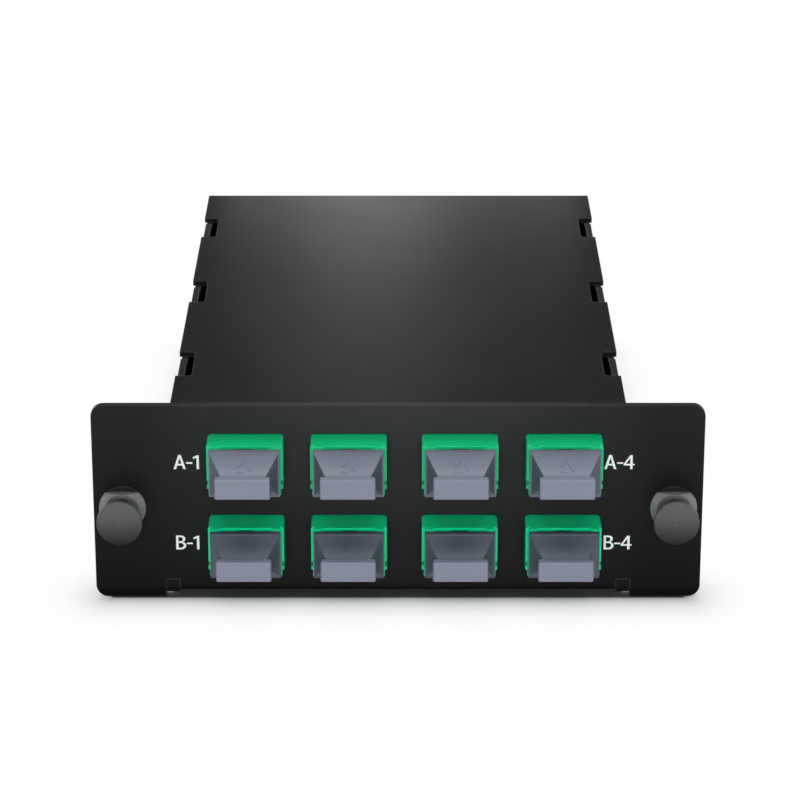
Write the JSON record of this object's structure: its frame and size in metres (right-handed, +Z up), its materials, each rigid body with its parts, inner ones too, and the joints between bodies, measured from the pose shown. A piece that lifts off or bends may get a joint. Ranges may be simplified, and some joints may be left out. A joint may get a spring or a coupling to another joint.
{
  "type": "fibre cassette",
  "caption": "Low rack cassette for fibre: folded black steel case, front panel with ears and push-in plungers, capped green couplers in two rows.",
  "frame": {"origin": "on the plane that the panel's ears stand on, under the middle of the whole cassette with its caps on", "axes": "+X across the panel to the right as seen from the front, +Y from the front panel towards the rear wall, +Z up"},
  "size_m": [0.1092, 0.1466, 0.037],
  "materials": {
    "case_coat": "satin black powder coat",
    "screw_black": "black",
    "adapter_green": "gloss",
    "clip_steel": "spring steel",
    "cap_grey": "satin",
    "plunger_black": "satin",
    "print_white": "white screen print"
  },
  "bodies": {
    "case": {"tray": "case_coat", "cover": "case_coat", "cover_screws": "screw_black", "adapter_a1": "adapter_green", "adapter_clip_a1": "clip_steel", "adapter_a2": "adapter_green", "adapter_clip_a2": "clip_steel", "adapter_a3": "adapter_green", "adapter_clip_a3": "clip_steel", "adapter_a4": "adapter_green", "adapter_clip_a4": "clip_steel", "adapter_b1": "adapter_green", "adapter_clip_b1": "clip_steel", "adapter_b2": "adapter_green", "adapter_clip_b2": "clip_steel", "adapter_b3": "adapter_green", "adapter_clip_b3": "clip_steel", "adapter_b4": "adapter_green", "adapter_clip_b4": "clip_steel", "plunger_grommet_left": "plunger_black", "plunger_grommet_right": "plunger_black"},
    "cap_a1": {"dust_cap_a1": "cap_grey"},
    "cap_a2": {"dust_cap_a2": "cap_grey"},
    "cap_a3": {"dust_cap_a3": "cap_grey"},
    "cap_a4": {"dust_cap_a4": "cap_grey"},
    "cap_b1": {"dust_cap_b1": "cap_grey"},
    "cap_b2": {"dust_cap_b2": "cap_grey"},
    "cap_b3": {"dust_cap_b3": "cap_grey"},
    "cap_b4": {"dust_cap_b4": "cap_grey"},
    "plunger_left": {"plunger_left": "plunger_black"},
    "plunger_right": {"plunger_right": "plunger_black"}
  },
  "joints": [
    {"name": "cap_a1_pull", "type": "slide", "parent": "case", "child": "cap_a1", "axis": [0, -1, 0], "range_m": [0, 0.016]},
    {"name": "cap_a2_pull", "type": "slide", "parent": "case", "child": "cap_a2", "axis": [0, -1, 0], "range_m": [0, 0.016]},
    {"name": "cap_a3_pull", "type": "slide", "parent": "case", "child": "cap_a3", "axis": [0, -1, 0], "range_m": [0, 0.016]},
    {"name": "cap_a4_pull", "type": "slide", "parent": "case", "child": "cap_a4", "axis": [0, -1, 0], "range_m": [0, 0.016]},
    {"name": "cap_b1_pull", "type": "slide", "parent": "case", "child": "cap_b1", "axis": [0, -1, 0], "range_m": [0, 0.016]},
    {"name": "cap_b2_pull", "type": "slide", "parent": "case", "child": "cap_b2", "axis": [0, -1, 0], "range_m": [0, 0.016]},
    {"name": "cap_b3_pull", "type": "slide", "parent": "case", "child": "cap_b3", "axis": [0, -1, 0], "range_m": [0, 0.016]},
    {"name": "cap_b4_pull", "type": "slide", "parent": "case", "child": "cap_b4", "axis": [0, -1, 0], "range_m": [0, 0.016]},
    {"name": "plunger_left_push", "type": "slide", "parent": "case", "child": "plunger_left", "axis": [0, 1, 0], "range_m": [0, 0.0053]},
    {"name": "plunger_right_push", "type": "slide", "parent": "case", "child": "plunger_right", "axis": [0, 1, 0], "range_m": [0, 0.0053]}
  ]
}
